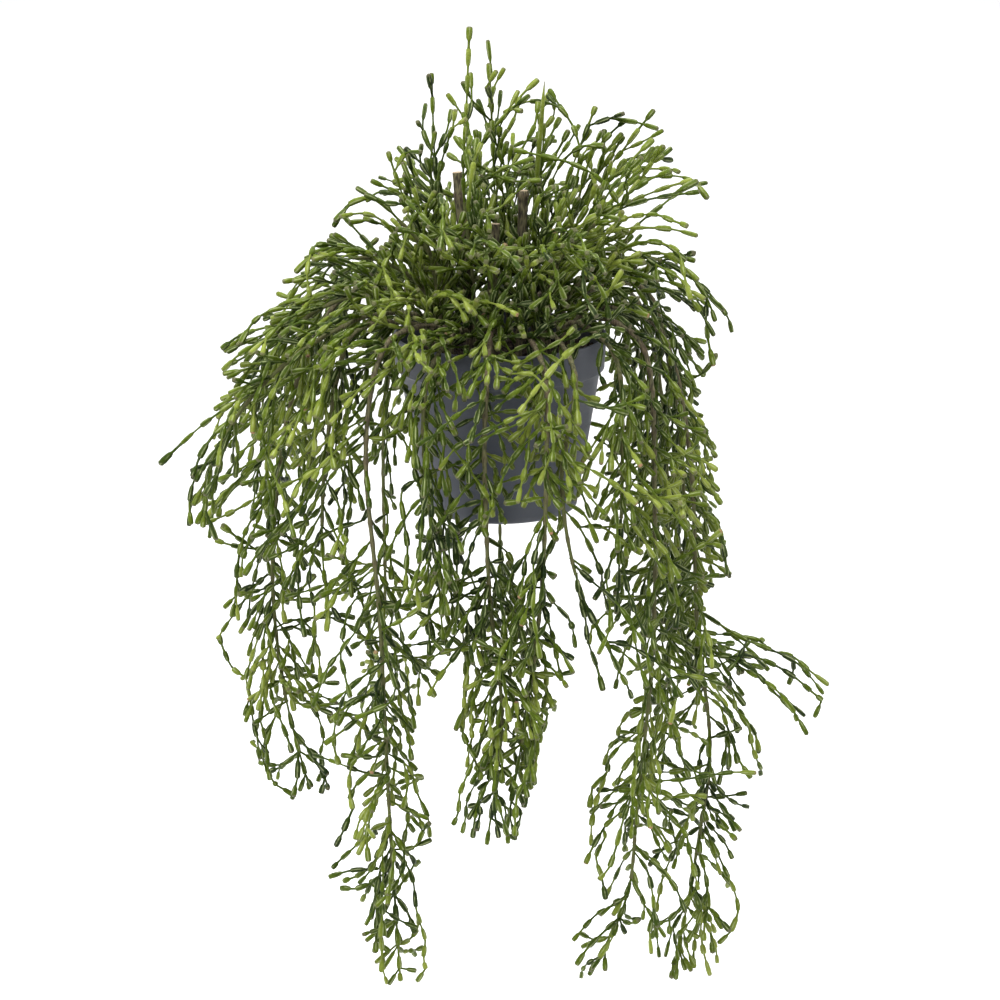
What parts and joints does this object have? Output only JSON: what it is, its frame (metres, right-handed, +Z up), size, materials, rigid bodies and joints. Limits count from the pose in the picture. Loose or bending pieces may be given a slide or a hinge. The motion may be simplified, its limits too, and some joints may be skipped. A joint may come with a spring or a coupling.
{
  "type": "mistletoe cactus in a hanging pot",
  "caption": "Trailing mistletoe cactus with jointed bottle-shaped segments, upright in the crown and hanging in long tails from a plain dark tapered pot.",
  "frame": {"origin": "centre of the pot's flat underside", "axes": "+Z up, out of the pot's mouth; -Y towards the front, +X to the right seen from the front"},
  "size_m": [0.4041, 0.3086, 0.615],
  "materials": {
    "pot_plastic": "satin dark slate grey",
    "potting_soil": "rough, dark brown",
    "segments": "soft waxy green with yellower necks and brownish tips",
    "bark": "matte grey-brown bark"
  },
  "bodies": {
    "root": {"pot": "pot_plastic", "soil": "potting_soil", "crown_tall_left": "segments", "crown_tall_middle": "segments", "crown_left": "segments", "crown_left_low": "segments", "crown_right": "segments", "crown_right_high": "segments", "crown_right_back": "segments", "crown_right_low": "segments", "crown_front": "segments", "crown_front_right": "segments", "crown_back": "segments", "crown_back_left": "segments", "left_high": "segments", "left_upper": "segments", "left_middle": "segments", "left_low": "segments", "left_back": "segments", "left_outer_tail": "segments", "left_fall": "segments", "left_long_tail": "segments", "left_inner": "segments", "front_tail": "segments", "front_right_tail": "segments", "front_swing": "segments", "right_inner": "segments", "right_long_tail": "segments", "right_outer_tail": "segments", "right_outer": "segments", "right_upper": "segments", "right_back": "segments", "back_left_tail": "segments", "back_middle_tail": "segments", "back_right_tail": "segments", "cut_stalk_left": "bark", "cut_stalk_middle": "bark", "cut_stalk_right": "bark"}
  },
  "joints": []
}
